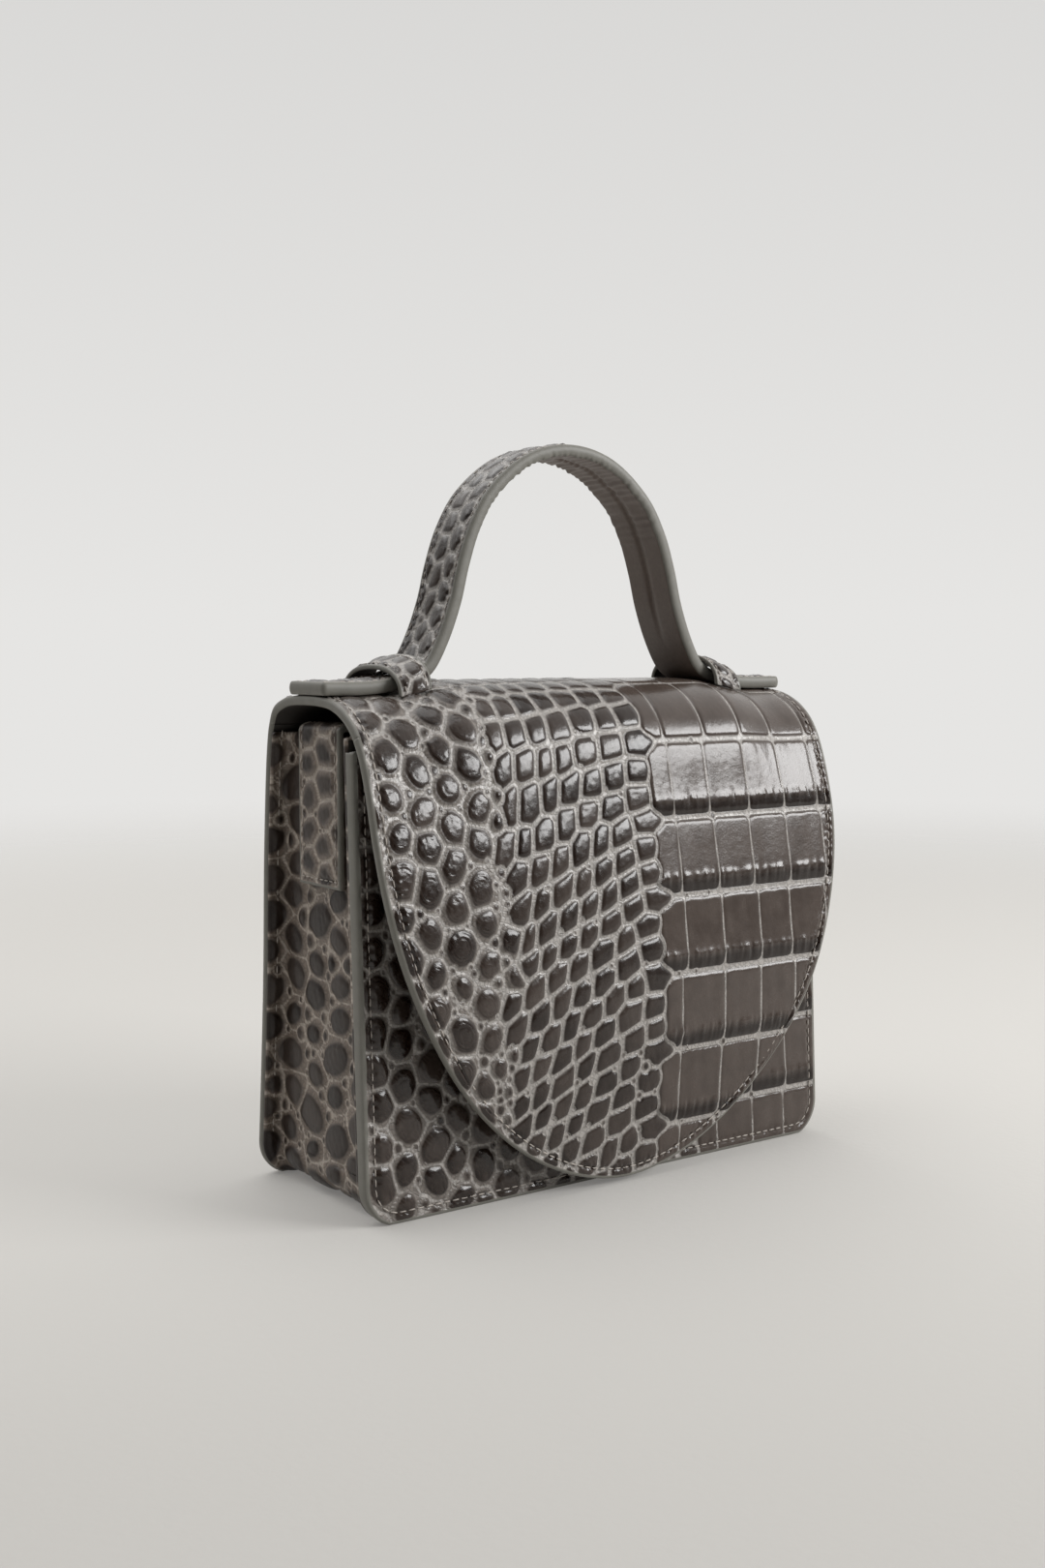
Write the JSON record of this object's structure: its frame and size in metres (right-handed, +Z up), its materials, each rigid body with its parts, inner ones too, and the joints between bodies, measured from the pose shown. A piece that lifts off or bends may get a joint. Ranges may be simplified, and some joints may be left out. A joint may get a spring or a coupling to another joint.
{
  "type": "mini briefcase bag",
  "caption": "Small structured leather handbag: one wrap forms the back, top and half-round front flap over a box body with a sewn gusset, and an arched strap handle is held under loops.",
  "frame": {"origin": "on the floor, under the middle of the bag's bounding box", "axes": "+Z up, the flap and the front face -Y, +X along the bag's width"},
  "size_m": [0.191, 0.0834, 0.2418],
  "materials": {
    "embossed_leather": "glossy embossed scales",
    "strap_leather": "glossy embossed scales, smooth underside",
    "magnet_steel": "satin"
  },
  "bodies": {
    "root": {"wrap_panel": "embossed_leather", "front_panel": "embossed_leather", "gusset": "embossed_leather", "handle": "strap_leather", "loop_left": "embossed_leather", "loop_right": "embossed_leather", "side_tab_left": "embossed_leather", "side_tab_right": "embossed_leather", "flap_magnet": "magnet_steel"}
  },
  "joints": []
}
